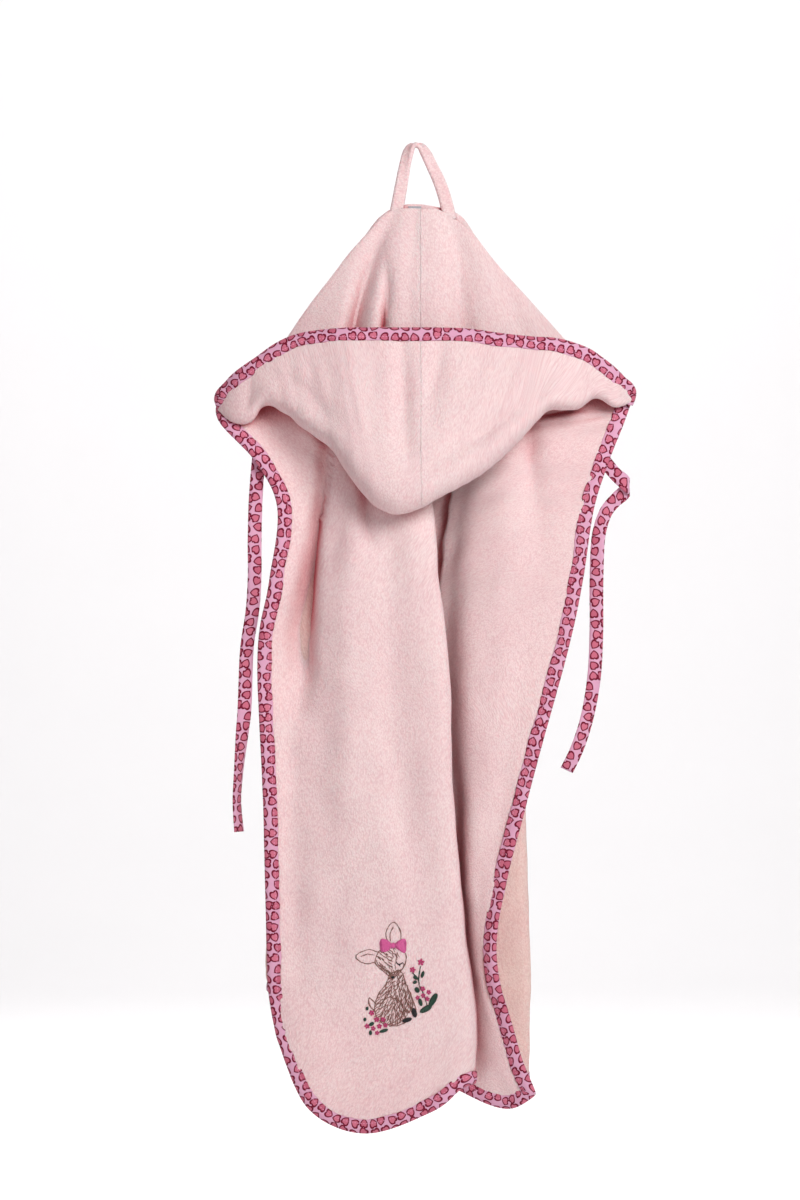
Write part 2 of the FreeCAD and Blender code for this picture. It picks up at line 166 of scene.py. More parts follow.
# The ties: centre (x, y, z), then the direction of their width.
LEFT_TIE = [
    (-142, -9.5, -279, 1, 0, 0.3), (-145, -9.5, -318, 1, 0.1, 0.05), (-146, -10.5, -358, 1, 0.25, 0),
    (-146, -10.5, -390, 1, 0, 0), (-148, -10.5, -421, 1, -0.2, 0), (-153, -11.5, -456, 1, -0.1, 0.1),
    (-155, -12.5, -508, 1, 0.3, 0), (-157, -12.5, -530, 0.9, 0.6, 0), (-160, -11.5, -561, 0.6, 1, 0),
    (-162, -11.5, -593, 0.5, 1, 0), (-160, -11.5, -621, 0.6, 1, 0),
]
RIGHT_TIE = [
    (164, -1, -274, 0.6, 0, 0.8), (172, -2, -286, 0.63, 0, 0.77), (181, -2, -297, 0.6, 0, 0.8),
    (189, -1.6, -304, 0.4, 0, 1.05), (193.5, 1, -309, 0, 0, 1.2), (189, 3.6, -314, -0.4, 0, 1.05),
    (181, 4.4, -321, -0.6, 0, 0.8), (173, 4, -331, -0.8, 0, 0.55), (167.5, 3, -346, -0.95, 0, 0.25),
    (165, 2, -364, -1, 0.1, 0.05), (164, 2, -400, -1, 0.2, 0), (164, 2, -440, -1, 0, 0),
    (162, 2, -480, -1, -0.25, 0.1), (156, 2, -516, -0.95, -0.2, 0.2), (147, 2, -545, -0.9, 0, 0.3),
    (137, 2, -566, -0.88, 0.1, 0.4),
]
LOOP = [
    (-19, 1.6, -66), (-16, 0.6, -50), (-12.8, 0, -32), (-9.8, 0, -16), (-7.4, 0, -6), (-4.2, 0, 0.4),
    (0, 0, 2), (4.8, 0, 0.4), (9.2, 0, -6), (14, 0, -16), (21, 0, -31), (26.5, 0.6, -47), (31, 1.6, -66),
]
LABEL = (-7, 5, -63.8, -53.7, 1.4)   # the care label's x, its z and its y


# ---- curves and grids -------------------------------------------------------------------------

def spline(rows, t):
    """A smooth curve through the rows, which are numbered 0, 1, 2 and so on, read at each t."""
    rows = np.asarray(rows, float)
    t = np.clip(np.asarray(t, float), 0, len(rows) - 1)
    i = np.minimum(t.astype(int), len(rows) - 2)
    s = (t - i)[:, None]
    a, b = rows[i], rows[i + 1]
    before, after = rows[np.maximum(i - 1, 0)], rows[np.minimum(i + 2, len(rows) - 1)]
    start, end = (b - before) / 2, (after - a) / 2
    return ((2 * s**3 - 3 * s**2 + 1) * a + (s**3 - 2 * s**2 + s) * start
            + (3 * s**2 - 2 * s**3) * b + (s**3 - s**2) * end)


def lengths(points):
    """The length along the points up to each of them. Works on any number of lines at once."""
    steps = np.linalg.norm(np.diff(points, axis=0), axis=-1)
    return np.concatenate([np.zeros((1,) + steps.shape[1:]), np.cumsum(steps, axis=0)])


def even(points, step=None, count=None, ends=()):
    """Where to read a spline through the points so that the readings are evenly spaced by length.
    ends adds readings at those distances from both ends."""
    points = np.asarray(points, float)
    points = points.reshape(len(points), -1, points.shape[-1])
    fine = np.linspace(0, len(points) - 1, 60 * len(points))
    dense = spline(points.reshape(len(points), -1), fine).reshape(len(fine), -1, points.shape[-1])
    reach = lengths(dense).mean(axis=1)
    total = reach[-1]
    inner = max(ends) + step if ends else 0
    places = np.linspace(inner, total - inner, count or int((total - 2 * inner) / step) + 1)
    extra = np.array(ends, float)
    return np.interp(np.concatenate([extra, places, total - extra[::-1]]), reach, fine)


def along(points, count):
    return spline(points, even(points, count=count))


def unit(v):
    return v / np.maximum(np.linalg.norm(v, axis=-1, keepdims=True), 1e-12)


def smoothed(values, width):
    """The running mean of the rows over that many neighbours each side."""
    pad = np.concatenate([np.repeat(values[:1], width, 0), values, np.repeat(values[-1:], width, 0)])
    return np.mean([pad[k:k + len(values)] for k in range(2 * width + 1)], axis=0)


def grid_normals(grid):
    """Unit normals; they point to +Y where the cloth faces the viewer."""
    return unit(np.cross(np.gradient(grid, axis=1), np.gradient(grid, axis=0)))


def waves(u, v, height, size, count=10):
    """A soft random ripple over the cloth, mostly along its length."""
    total = np.zeros_like(u)
    for _ in range(count):
        across = RNG.normal(0, 1) / size
        down = RNG.normal(0, 0.45) / size
        total += np.sin(2 * np.pi * (u * across + v * down) + RNG.uniform(0, 2 * np.pi))
    return height * total / math.sqrt(count)


def creased(grid, creases, mask=1.0):
    """Sinks the grid along Y by the creases, where the mask allows; a lean tucks their right side over."""
    x, z = grid[..., 0].copy(), grid[..., 2]
    for points in creases:
        rows = np.array(points, float)[::-1]
        across, depth, left, right, *lean = (np.interp(z, rows[:, 1], rows[:, k])
                                             for k in (0, *range(2, rows.shape[1])))
        fade = np.clip((z - rows[0, 1]) / 25 + 0.5, 0, 1) * np.clip((rows[-1, 1] - z) / 25 + 0.8, 0, 1)
        off = x - across
        width = np.where(off < 0, left, right)
        grid[..., 1] += mask * depth * fade * np.exp(-np.abs(off / width) ** (3 if lean else 2))
        if lean:
            grid[..., 0] -= mask * lean[0] * fade * (off > 0) * np.exp(-(off / 14) ** 2)
    return grid


def cape_grid():
    """The cape's middle surface in rows from the neckline to the hem, and each column's control line."""
    rows = [along([(x, NECK_Y, z) for x, z in NECKLINE], len(DEPTHS))]
    for z, left, fold1, fold2, fold3, fold4, right, depth in FOLDS:
        shelf = max(fold4 + 9, fold1 + 2)
        xs = [left, *(left + (fold1 - left) * t for t in (0.25, 0.5, 0.8)), fold1 - 8, fold1, fold1 - 8,
              (fold1 + fold2) / 2, fold2 + 10, fold2, fold2 + 10,
              *(fold2 + (fold3 - fold2) * t for t in (0.33, 0.67)), fold3 - 10, fold3, fold3 - 9,
              (fold3 + fold4) / 2, fold4 + 9, fold4, shelf, shelf + (right - shelf) * 0.25, right]
        start, end = DEPTHS_CHANGE
        ys = DEPTHS + (LOW_DEPTHS - DEPTHS) * np.clip((start - z) / (start - end), 0, 1)
        rows.append([(x, y * depth, z) for x, y in zip(xs, ys)])
    for low in LOW_ROWS:
        rows.append([(x, y, z) for (x, z), y in zip(low, LOW_DEPTHS)])
    rows = np.array(rows, float)
    down = even(rows, step=GRID)
    rows = spline(rows.reshape(len(rows), -1), down).reshape(len(down), -1, 3)
    columns = rows.transpose(1, 0, 2)
    across = even(columns, step=GRID)
    grid = spline(columns.reshape(len(columns), -1), across).reshape(len(across), -1, 3)
    return grid.transpose(1, 0, 2), across


def folded_cape():
    """The cape's middle surface with its creases and ripples."""
    grid, line = cape_grid()
    for low, high, points in CREASES:
        inside = np.clip((line - low) * 2 + 1, 0, 1) * np.clip((high - line) * 2, 0, 1)
        creased(grid, [points], inside[None, :])
    u, v = lengths(grid.transpose(1, 0, 2)).T, lengths(grid)
    calm = np.clip(v / 60, 0, 1)
    grid += grid_normals(grid) * (calm * (waves(u, v, 1.0, 110) + waves(u, v, 0.45, 38)))[..., None]
    return grid


def hood_grid():
    """The hood's middle surface: columns along the seam, rows from the seam round the fold to the mouth."""
    slices = spline(HOOD, even(np.array(HOOD, float)[:, :4], step=GRID))
    columns = []
    for x, seam, fold, mouth, y_back, y_fold, y_mouth in slices:
        y_seam, low, tall = NECK_Y - TERRY - 1.2, fold + 1, mouth - 1 - fold
        drop = seam - low
        back = [(y_seam, seam), (y_seam + (y_back - y_seam) * 0.45, seam - 0.33 * drop),
                (y_seam + (y_back - y_seam) * 0.85, seam - 0.67 * drop), (y_back, seam - 0.9 * drop)]
        deep = y_fold - y_back
        front = [(y_back + 0.4 * deep, fold), (y_fold - 0.03 * deep, fold + 0.10 * tall),
                 (y_fold + 0.2 * (y_mouth - y_fold), fold + 0.4 * tall),
                 (y_fold + 0.7 * (y_mouth - y_fold), fold + 0.75 * tall), (y_mouth, mouth - 1)]
        columns.append([(x, y, z) for y, z in back + front])
    columns = np.array(columns)
    lines = columns.transpose(1, 0, 2)
    down = even(lines, step=GRID, ends=(0, 0.6, 1.6))
    grid = spline(lines.reshape(len(lines), -1), down).reshape(len(down), -1, 3)
    front = np.clip((down[:, None] - 4) * 1.5, 0, 1)
    creased(grid, BACK_CREASES, np.clip(4 - down[:, None], 0, 1))
    creased(grid, FRONT_CREASES, front)
    u, v = lengths(grid.transpose(1, 0, 2)).T, lengths(grid)
    calm = np.clip(v / 40, 0, 1) * np.clip((v[-1] - v) / 40, 0, 1)
    grid += grid_normals(grid) * (calm * (waves(u, v, 0.8, 100) + waves(u, v, 0.4, 40)))[..., None]
    return grid


def column_at(grid, x):
    """One line down the grid at that x, read between its columns."""
    xs = grid[0, :, 0]
    k = int(np.searchsorted(xs, x)) - 1
    t = (x - xs[k]) / (xs[k + 1] - xs[k])
    return grid[:, k] * (1 - t) + grid[:, k + 1] * t


# ---- meshes -----------------------------------------------------------------------------------

def new_piece(name, verts, faces, uvs, material):
    """A mesh from points in millimetres, with one UV in metres per point."""
    data = bpy.data.meshes.new(name)
    data.from_pydata((np.asarray(verts, float) * MM).tolist(), [], [list(map(int, f)) for f in faces])
    layer = data.uv_layers.new(name="cloth")
    corner = np.empty(len(data.loops), np.int32)
    data.loops.foreach_get("vertex_index", corner)
    layer.data.foreach_set("uv", (np.asarray(uvs, np.float32) * MM)[corner].ravel())
    data.polygons.foreach_set("use_smooth", np.ones(len(data.polygons), bool))
    data.materials.append(material)
    piece = bpy.data.objects.new(name, data)
    bpy.context.collection.objects.link(piece)
    return piece


def quads(rows, columns, first=0, flip=False):
    """Faces of a grid of points that are numbered row by row."""
    at = first + np.arange(rows * columns).reshape(rows, columns)
    corners = [at[:-1, :-1], at[1:, :-1], at[1:, 1:], at[:-1, 1:]]
    faces = np.stack([c.ravel() for c in corners], axis=1)
    return faces[:, ::-1] if flip else faces


def cloth(name, grid, half, material, inside=None):
    """A closed sheet of cloth: the grid's surface with half its thickness on each side.

    The side that the grid's normals point to can have a material of its own, the inside's.
    """
    rows, columns = grid.shape[:2]
    out = grid_normals(grid) * half[..., None]
    verts = np.concatenate([(grid - out).reshape(-1, 3), (grid + out).reshape(-1, 3)])
    u, v = lengths(grid.transpose(1, 0, 2)).T, lengths(grid)
    uv = np.stack([u, v], axis=-1).reshape(-1, 2)
    back = rows * columns
    at = np.arange(back).reshape(rows, columns)
    rim = np.concatenate([at[0], at[1:, -1], at[-1, -2::-1], at[-2:0:-1, 0]])
    after = np.roll(rim, -1)
    sides = np.stack([rim, after, after + back, rim + back], axis=1)
    faces = np.concatenate([quads(rows, columns), quads(rows, columns, back, True), sides])
    piece = new_piece(name, verts, faces, np.concatenate([uv, uv + INSIDE_UV]), material)
    if inside:
        count = (rows - 1) * (columns - 1)
        which = np.zeros(len(faces), int)
        which[count:2 * count] = 1
        piece.data.materials.append(inside)
        piece.data.polygons.foreach_set("material_index", which)
    return piece


def rounded(distance):
    """Half the terry's thickness near a raw edge, that far from it."""
    full = TERRY / 2
    t = np.clip(distance / full, 0.02, 1)
    return full * np.sqrt(1 - (1 - t) ** 2)


def strip(name, centres, sides, normals, section, material, v_of):
    """A closed solid whose section lies across a line: section is (side, normal) per ring point."""
    section = np.asarray(section, float)
    if section.ndim == 2:
        section = np.repeat(section[None], len(centres), axis=0)
    rings = (centres[:, None] + sides[:, None] * section[..., :1] + normals[:, None] * section[..., 1:2])
    count, ring = rings.shape[:2]
    u = np.repeat(lengths(centres)[:, None], ring + 1, axis=1)
    v = np.repeat(np.asarray(v_of, float)[None], count, axis=0)
    verts = np.concatenate([rings, rings[:, :1]], axis=1).reshape(-1, 3)
    faces = quads(count, ring + 1).tolist()
    last = (count - 1) * (ring + 1)
    faces += [list(range(ring)), [last + k for k in range(ring)][::-1]]
    uv = np.stack([u.ravel(), np.concatenate([v, v[:, :1]], axis=1).ravel()], axis=1)
    piece = new_piece(name, verts, faces, uv, material)
    weld(piece)
    return piece


def weld(piece):
    """Joins doubled points, so that the solid is closed, and makes its faces point outwards."""
    solid = bmesh.new()
    solid.from_mesh(piece.data)
    bmesh.ops.remove_doubles(solid, verts=solid.verts, dist=1e-6)
    bmesh.ops.recalc_face_normals(solid, faces=solid.faces)
    solid.to_mesh(piece.data)
    solid.free()


TAPE_FRONT = [(11.5, 1.5), (11.7, 2.0), (10.9, 2.35), (9.8, 2.15), (8.6, 2.6), (6.5, 2.95), (4.0, 3.0),
              (1.8, 2.75), (0.2, 2.0), (-0.8, 0.9)]
TAPE_INSIDE = [(11.2, 1.3), (6.0, 1.6), (0.8, 1.3)]


def binding(name, edge, inward, normals, material):
    """Tape folded over a cloth's edge, sewn through near its inner edge and a little puckered."""
    front = np.array(TAPE_FRONT)
    back = front[::-1] * [1, -1]
    inner_back = np.array(TAPE_INSIDE) * [1, -1]
    inner_front = np.array(TAPE_INSIDE)[::-1]
    section = np.concatenate([front, [(-1.0, 0.0)], back, inner_back, inner_front])
    outer = len(front) * 2 + 1
    reach = lengths(section[:outer])
    v = np.concatenate([reach - reach[outer // 2], np.full(len(TAPE_INSIDE), 14.0),
                        np.full(len(TAPE_INSIDE), -14.0)])
    s = lengths(edge)
    sections = np.repeat(section[None], len(edge), axis=0)
    pucker = np.zeros(len(edge))
    drift = np.zeros(len(edge))
    for _ in range(9):
        pucker += np.sin(2 * np.pi * s / RNG.uniform(6, 13) + RNG.uniform(0, 6.3)) / 3
        drift += np.sin(2 * np.pi * s / RNG.uniform(30, 90) + RNG.uniform(0, 6.3)) / 3
    lift = np.clip((section[:, 0] - 1) / 9, 0, 1)
    sections[..., 1] *= 1 + 0.10 * pucker[:, None] * lift
    sections[..., 0] += 0.35 * (drift + 0.4 * pucker)[:, None] * lift
    return strip(name, edge, inward, normals, sections, material, v)


def edge_frame(points, normals, ease=4):
    """Evenly spaced places along an edge with the direction into the cloth and the cloth's normal."""
    t = even(points, step=TAPE_STEP)
    places, out = spline(points, t), smoothed(unit(spline(normals, t)), ease)
    places = smoothed(places, 1)
    run = smoothed(unit(np.gradient(places, axis=0)), ease)
    inward = unit(np.cross(run, out))
    return places, inward, unit(np.cross(inward, run))


def ribbon(name, points, width, thick, material, step=3.0):
    """A flat strip. Each point is a centre and the direction of the strip's width there."""
    t = even(np.array(points, float)[:, :3], step=step)
    path = spline(points, t)
    centres, sides = path[:, :3], path[:, 3:6]
    stretch = np.linalg.norm(sides, axis=1)
    run = unit(np.gradient(centres, axis=0))
    normals = unit(np.cross(run, sides))
    sides = unit(sides) * np.clip(stretch, 0.97, 1.25)[:, None]
    w, h = width / 2, thick / 2
    section = np.array([(-w, 0), (-w + 0.4 * h, h), (-w / 2, h), (0, h), (w / 2, h), (w - 0.4 * h, h),
                        (w, 0), (w - 0.4 * h, -h), (w / 2, -h), (0, -h), (-w / 2, -h),
                        (-w + 0.4 * h, -h)])
    cup = np.sin(lengths(centres) / 37)[:, None] * 0.6
    sections = np.repeat(section[None], len(centres), axis=0)
    sections[..., 1] += cup * (1 - (section[:, 0] / w) ** 2)
    return strip(name, centres, sides, normals, sections, material, section[:, 0])


# ---- materials --------------------------------------------------------------------------------

class Looks:
    """A material's node tree, with short ways to add nodes."""

    def __init__(self, name):
        self.material = bpy.data.materials.new(name)
        self.material.use_nodes = True
        self.tree = self.material.node_tree
        self.tree.nodes.clear()

    def add(self, kind, out=0, settings=None, **inputs):
        node = self.tree.nodes.new(kind)
        for key, value in (settings or {}).items():
            setattr(node, key, value)
        for key, value in inputs.items():
            slot = node.inputs[int(key[1:])] if key[1:].isdigit() else node.inputs[key.replace("_", " ")]
            if isinstance(value, bpy.types.NodeSocket):
                self.tree.links.new(value, slot)
            else:
                slot.default_value = value
        return node.outputs[out]

    def math(self, operation, a, b=0.0):
        return self.add("ShaderNodeMath", 0, {"operation": operation}, i0=a, i1=b)

    def vector(self, operation, a, b=(0.0, 0.0, 0.0)):
        return self.add("ShaderNodeVectorMath", 0, {"operation": operation}, i0=a, i1=b)

    def blend(self, share, a, b):
        """Colour a where share is 0 and b where it is 1."""
        return self.add("ShaderNodeMix", 2, {"data_type": "RGBA"}, i0=share, i6=a, i7=b)

    def step(self, value, low, high, to_low=0.0, to_high=1.0):
        return self.add("ShaderNodeMapRange", 0, {"interpolation_type": "SMOOTHSTEP"}, i0=value,
                        i1=low, i2=high, i3=to_low, i4=to_high)

    def noise(self, place, scale, detail=2.0, out=0):
        return self.add("ShaderNodeTexNoise", out, Vector=place, Scale=scale, Detail=detail)

    def finish(self, colour, roughness, height=None, distance=0.0005, strength=1.0, **more):
        shade = dict(Base_Color=colour, Roughness=roughness, **more)
        if height is not None:
            shade["Normal"] = self.add("ShaderNodeBump", 0, Height=height, Distance=distance,
                                       Strength=strength)
        surface = self.add("ShaderNodeBsdfPrincipled", 0, **shade)
        node = self.tree.nodes.new("ShaderNodeOutputMaterial")
        self.tree.links.new(surface, node.inputs["Surface"])
        return self.material


def colour(red, green, blue):
    """A linear colour from 8-bit sRGB."""
    return tuple(((c / 255 + 0.055) / 1.055) ** 2.4 if c > 10 else c / 3294.6
                 for c in (red, green, blue)) + (1.0,)


def terry_looks(name, lit_tips, shaded_roots):
    """Loops in short streaks down the cloth, a little uneven, with painted shade: darker in the gaps
    between the loops, and redder and darker in creases where one fold faces another.
    """
    looks = Looks(name)
    uv = looks.add("ShaderNodeUVMap", 0, {"uv_map": "cloth"})
    drift = looks.vector("SUBTRACT", looks.noise(uv, 90.0, 2.0, out=1), (0.5, 0.5, 0.5))
    lean = looks.vector("ADD", uv, looks.vector("MULTIPLY", drift, (0.0022, 0.0022, 0.0)))
    grain = looks.vector("MULTIPLY", lean, (760.0, 420.0, 1.0))
    loops = looks.add("ShaderNodeTexVoronoi", 0, {"feature": "F1"}, Vector=grain, Scale=1.0)
    tufts = looks.noise(looks.vector("MULTIPLY", lean, (1300.0, 700.0, 1.0)), 1.0, 2.0)
    clumps = looks.noise(looks.vector("MULTIPLY", lean, (240.0, 150.0, 1.0)), 1.0, 2.0)
    height = looks.math("SUBTRACT", looks.math("MULTIPLY", tufts, 0.8), looks.math("MULTIPLY", loops, 0.8))
    height = looks.math("ADD", height, looks.math("MULTIPLY", clumps, 0.2))
    # Painted shade: the loops' tops take the lit tint and the gaps between them the darker shaded tint, by
    # the bump's height.
    deep = looks.step(height, -0.3, 0.5)
    cloudy = looks.step(looks.noise(uv, 16.0, 3.0), 0.35, 0.65)
    lit_tip = looks.blend(cloudy, *(colour(*tint) for tint in lit_tips))
    shaded_root = looks.blend(cloudy, *(colour(*tint) for tint in shaded_roots))
    # Painted shade: where ambient occlusion finds a crease or one fold facing another, the colour is
    # multiplied towards a dark red.
    open_sky = looks.add("ShaderNodeAmbientOcclusion", 1, {"samples": 8}, Distance=0.045)
    painted_crease_shade = looks.step(open_sky, 0.1, 0.78, 1.0, 0.0)
    shaded_pile = looks.add("ShaderNodeMix", 2, {"data_type": "RGBA", "blend_type": "MULTIPLY"}, i0=painted_crease_shade,
                     i6=looks.blend(deep, shaded_root, lit_tip), i7=colour(206, 92, 106))
    return looks.finish(shaded_pile, 0.95, height, 0.0010, 0.5, Sheen_Weight=0.15,
                        Sheen_Roughness=0.5, Sheen_Tint=(1.0, 0.8, 0.82, 1.0), Subsurface_Weight=0.25,
                        Subsurface_Radius=(1.0, 0.3, 0.36), Subsurface_Scale=0.006,
                        Specular_IOR_Level=0.15)


def print_looks():
    """Plain-weave cotton tape with a random scatter of outlined hearts, and its row of stitches."""
    looks = Looks("printed_cotton")
    uv = looks.add("ShaderNodeUVMap", 0, {"uv_map": "cloth"})
    hearts_per_m, seam_at, stitch_beat = 106.0, 0.0106, 2100.0
    place = looks.vector("MULTIPLY", uv, (hearts_per_m, hearts_per_m, 0.0))
    cell = looks.add("ShaderNodeTexVoronoi", 0, {"voronoi_dimensions": "2D"}, Vector=place, Scale=1.0,
                     Randomness=0.33).node
    offset = looks.vector("SUBTRACT", place, cell.outputs["Position"])
    pick = looks.add("ShaderNodeSeparateColor", 0, Color=cell.outputs["Color"]).node
    turn = looks.math("MULTIPLY", pick.outputs[0], 6.283)
    turned = looks.add("ShaderNodeVectorRotate", 0, {"rotation_type": "Z_AXIS"}, Vector=offset, Angle=turn)
    xy = looks.add("ShaderNodeSeparateXYZ", 0, Vector=turned).node

    def heart(size):
        """Below zero inside a heart that reaches that share of a cell each way."""
        x = looks.math("DIVIDE", xy.outputs[0], size * 0.92)
        y = looks.math("DIVIDE", xy.outputs[1], size)
        x2, y2 = looks.math("MULTIPLY", x, x), looks.math("MULTIPLY", y, y)
        ring = looks.math("SUBTRACT", looks.math("ADD", x2, y2), 1.0)
        cube = looks.math("MULTIPLY", looks.math("MULTIPLY", ring, ring), ring)
        notch = looks.math("MULTIPLY", looks.math("MULTIPLY", x2, y2), y)
        return looks.math("SUBTRACT", cube, notch)

    outer = looks.step(heart(0.43), -0.001, 0.0015, 1.0, 0.0)
    inner = looks.step(heart(0.285), -0.0015, 0.0015, 1.0, 0.0)
    ground = looks.blend(looks.noise(uv, 90.0), colour(224, 172, 197), colour(211, 155, 183))
    fill = looks.blend(pick.outputs[1], colour(207, 114, 136), colour(190, 94, 118))
    printed = looks.blend(outer, ground, colour(112, 10, 42))
    printed = looks.blend(inner, printed, fill)
    across = looks.add("ShaderNodeSeparateXYZ", 0, Vector=uv).node
    side = looks.math("ABSOLUTE", across.outputs[1])
    groove = looks.math("ABSOLUTE", looks.math("SUBTRACT", side, seam_at))
    line = looks.step(groove, 0.0002, 0.0005, 1.0, 0.0)
    beat = looks.math("SINE", looks.math("MULTIPLY", across.outputs[0], stitch_beat))
    stitch = looks.math("MULTIPLY", line, looks.step(beat, -0.35, -0.1))
    printed = looks.blend(looks.math("MULTIPLY", stitch, 0.75), printed, colour(226, 150, 182))
    threads = looks.vector("MULTIPLY", uv, (2600.0, 2600.0, 0.0))
    weave = looks.add("ShaderNodeTexVoronoi", 0, {"voronoi_dimensions": "2D"}, Vector=threads, Scale=1.0,
                      Randomness=0.2)
    crinkle = looks.noise(looks.vector("MULTIPLY", uv, (330.0, 90.0, 0.0)), 1.0, 3.0)
    height = looks.math("ADD", crinkle, looks.math("MULTIPLY", weave, -0.12))
    height = looks.math("SUBTRACT", height, looks.math("MULTIPLY", line, 0.5))
    return looks.finish(printed, 0.8, height, 0.0007, 0.6, Sheen_Weight=0.1, Specular_IOR_Level=0.25)


def thread_looks(name, light, dark):
    """Shiny twisted embroidery thread, each stitch a little different."""
    looks = Looks(name)
    uv = looks.add("ShaderNodeUVMap", 0, {"uv_map": "cloth"})
    mix = looks.noise(uv, 260.0, 2.0)
    parts = looks.add("ShaderNodeSeparateXYZ", 0, Vector=uv).node
    lay = looks.math("ADD", looks.math("MULTIPLY", parts.outputs[0], 4000.0),
                     looks.math("MULTIPLY", parts.outputs[1], 6000.0))
    height = looks.math("SINE", lay)
    return looks.finish(looks.blend(mix, dark, light), 0.42, height, 0.00008, 0.6,
                        Sheen_Weight=0.2, Specular_IOR_Level=0.4)


def shaded_label_looks():
    """A blank woven satin label, coloured a painted grey that stands for the shade it lies in at the
    neckline.
    """
    looks = Looks("label_satin")
    uv = looks.add("ShaderNodeUVMap", 0, {"uv_map": "cloth"})
    fine = looks.noise(looks.vector("MULTIPLY", uv, (4000.0, 700.0, 0.0)), 1.0, 2.0)
    # Painted shade: the label's grey stands for the shade along the neckline, not for the label's own
    # colour.
    tint = looks.blend(fine, colour(150, 152, 158), colour(186, 188, 194))
    return looks.finish(tint, 0.38, fine, 0.0001, 0.5, Specular_IOR_Level=0.5)


def plain_looks(name, tint, roughness):
    looks = Looks(name)
    place = looks.add("ShaderNodeTexCoord", 3)
    mottled = looks.blend(looks.noise(place, 3.0), tint, tuple(c * 0.98 for c in tint[:3]) + (1.0,))
    return looks.finish(mottled, roughness)


TERRY_LOOK = terry_looks("terry", [(242, 222, 220), (240, 217, 216)], [(229, 197, 198), (226, 192, 194)])
# Painted shade: the cloth's inside gets darker, warmer tints than its outside, standing for the shade the
# cape's back layer lies in.
SHADED_INSIDE_LOOK = terry_looks("terry_inside_shaded", [(240, 214, 206), (237, 209, 202)],
                          [(226, 190, 183), (223, 184, 179)])
PRINT_LOOK = print_looks()

# ---- the cape ---------------------------------------------------------------------------------

CAPE = folded_cape()


def cape_half():
    """Half the cape's thickness: full inside, pressed flat under its binding."""
    u, v = lengths(CAPE.transpose(1, 0, 2)).T, lengths(CAPE)
    free = np.minimum(np.minimum(u, u[:, -1:] - u), v[-1:] - v)
    flat = 0.62 + 0.38 * np.clip((free - 8) / 9, 0, 1) ** 0.7
    return flat * rounded(v)


def make_cape():
    cape = cloth("body_panel_terry", CAPE, cape_half(), TERRY_LOOK, SHADED_INSIDE_LOOK)
    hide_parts("body_panel")
    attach(cape, "towel")
    return cape


def make_cape_binding():
    up = grid_normals(CAPE)
    down, last = slice(1, None), CAPE.shape[1] - 1
    edge = np.concatenate([CAPE[down, 0], CAPE[-1, 1:last], CAPE[::-1][:-1, last]])
    facing = np.concatenate([up[down, 0], up[-1, 1:last], up[::-1][:-1, last]])
    tape = binding("body_edge_tape", *edge_frame(edge, facing), PRINT_LOOK)
    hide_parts("body_edge_binding")
    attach(tape, "towel")


# ---- the hood ---------------------------------------------------------------------------------

HOOD_GRID = hood_grid()


def make_hood_panel(name, grid, nodes):
    """One half of the hood, from the neckline seam round the pouch's fold to the mouth."""
    u, v = lengths(grid.transpose(1, 0, 2)).T, lengths(grid)
    centre = u if grid[0, 0, 0] > grid[0, -1, 0] else u[:, -1:] - u
    half = np.minimum(rounded(v), rounded(centre + 1.5))
    half *= 0.62 + 0.38 * np.clip((v[-1:] - v - 8) / 9, 0, 1)
    panel = cloth(name, grid, half, TERRY_LOOK)
    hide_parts(*nodes)
    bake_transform(panel)
    return panel


def split_hood():
    """The hood's grid cut at the centre seam, with extra columns where its edges round over."""
    xs = HOOD_GRID[0, :, 0]
    near, clear = [0.0, 0.7, 1.8], 3.5    # how far the extra columns and the grid's own are from the seam
    left = [HOOD_GRID[:, k] for k in range(len(xs)) if xs[k] < HOOD_SEAM_X - clear]
    left += [column_at(HOOD_GRID, HOOD_SEAM_X - d) for d in near[::-1]]
    right = [column_at(HOOD_GRID, HOOD_SEAM_X + d) for d in near]
    right += [HOOD_GRID[:, k] for k in range(len(xs)) if xs[k] > HOOD_SEAM_X + clear]
    return np.stack(left, axis=1), np.stack(right, axis=1)


def make_hood_binding():
    """The tape over the mouth, which turns round both neck corners onto the cape's tape."""
    mouth, under = HOOD_GRID[-1], HOOD_GRID[-4]
    run = unit(np.gradient(mouth, axis=0))
    facing = unit(np.cross(run, unit(under - mouth)))
    edge = np.concatenate([LEFT_CORNER[::-1], mouth[2:-2], RIGHT_CORNER])
    out = np.concatenate([np.repeat(facing[:1], len(LEFT_CORNER), 0), facing[2:-2],
                          np.repeat(facing[-1:], len(RIGHT_CORNER), 0)])
    t = even(edge, step=TAPE_STEP)
    places = smoothed(spline(edge, t), 2)
    run = smoothed(unit(np.gradient(places, axis=0)), 3)
    inward = unit(np.cross(smoothed(unit(spline(out, t)), 4), run))
    tape = binding("hood_edge_tape", places, inward, unit(np.cross(run, inward)), PRINT_LOOK)
    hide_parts("hood_edge_binding")
    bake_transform(tape)


# ---- ties, loop and label ---------------------------------------------------------------------

def make_ties():
    left = ribbon("left_tie_tape", LEFT_TIE, TAPE, TIE_THICK, PRINT_LOOK)
    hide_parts("left_tie")
    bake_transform(left)
    right = ribbon("right_tie_tape", RIGHT_TIE, TAPE, TIE_THICK, PRINT_LOOK)
    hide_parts("right_tie")
    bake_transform(right)
    return left, right


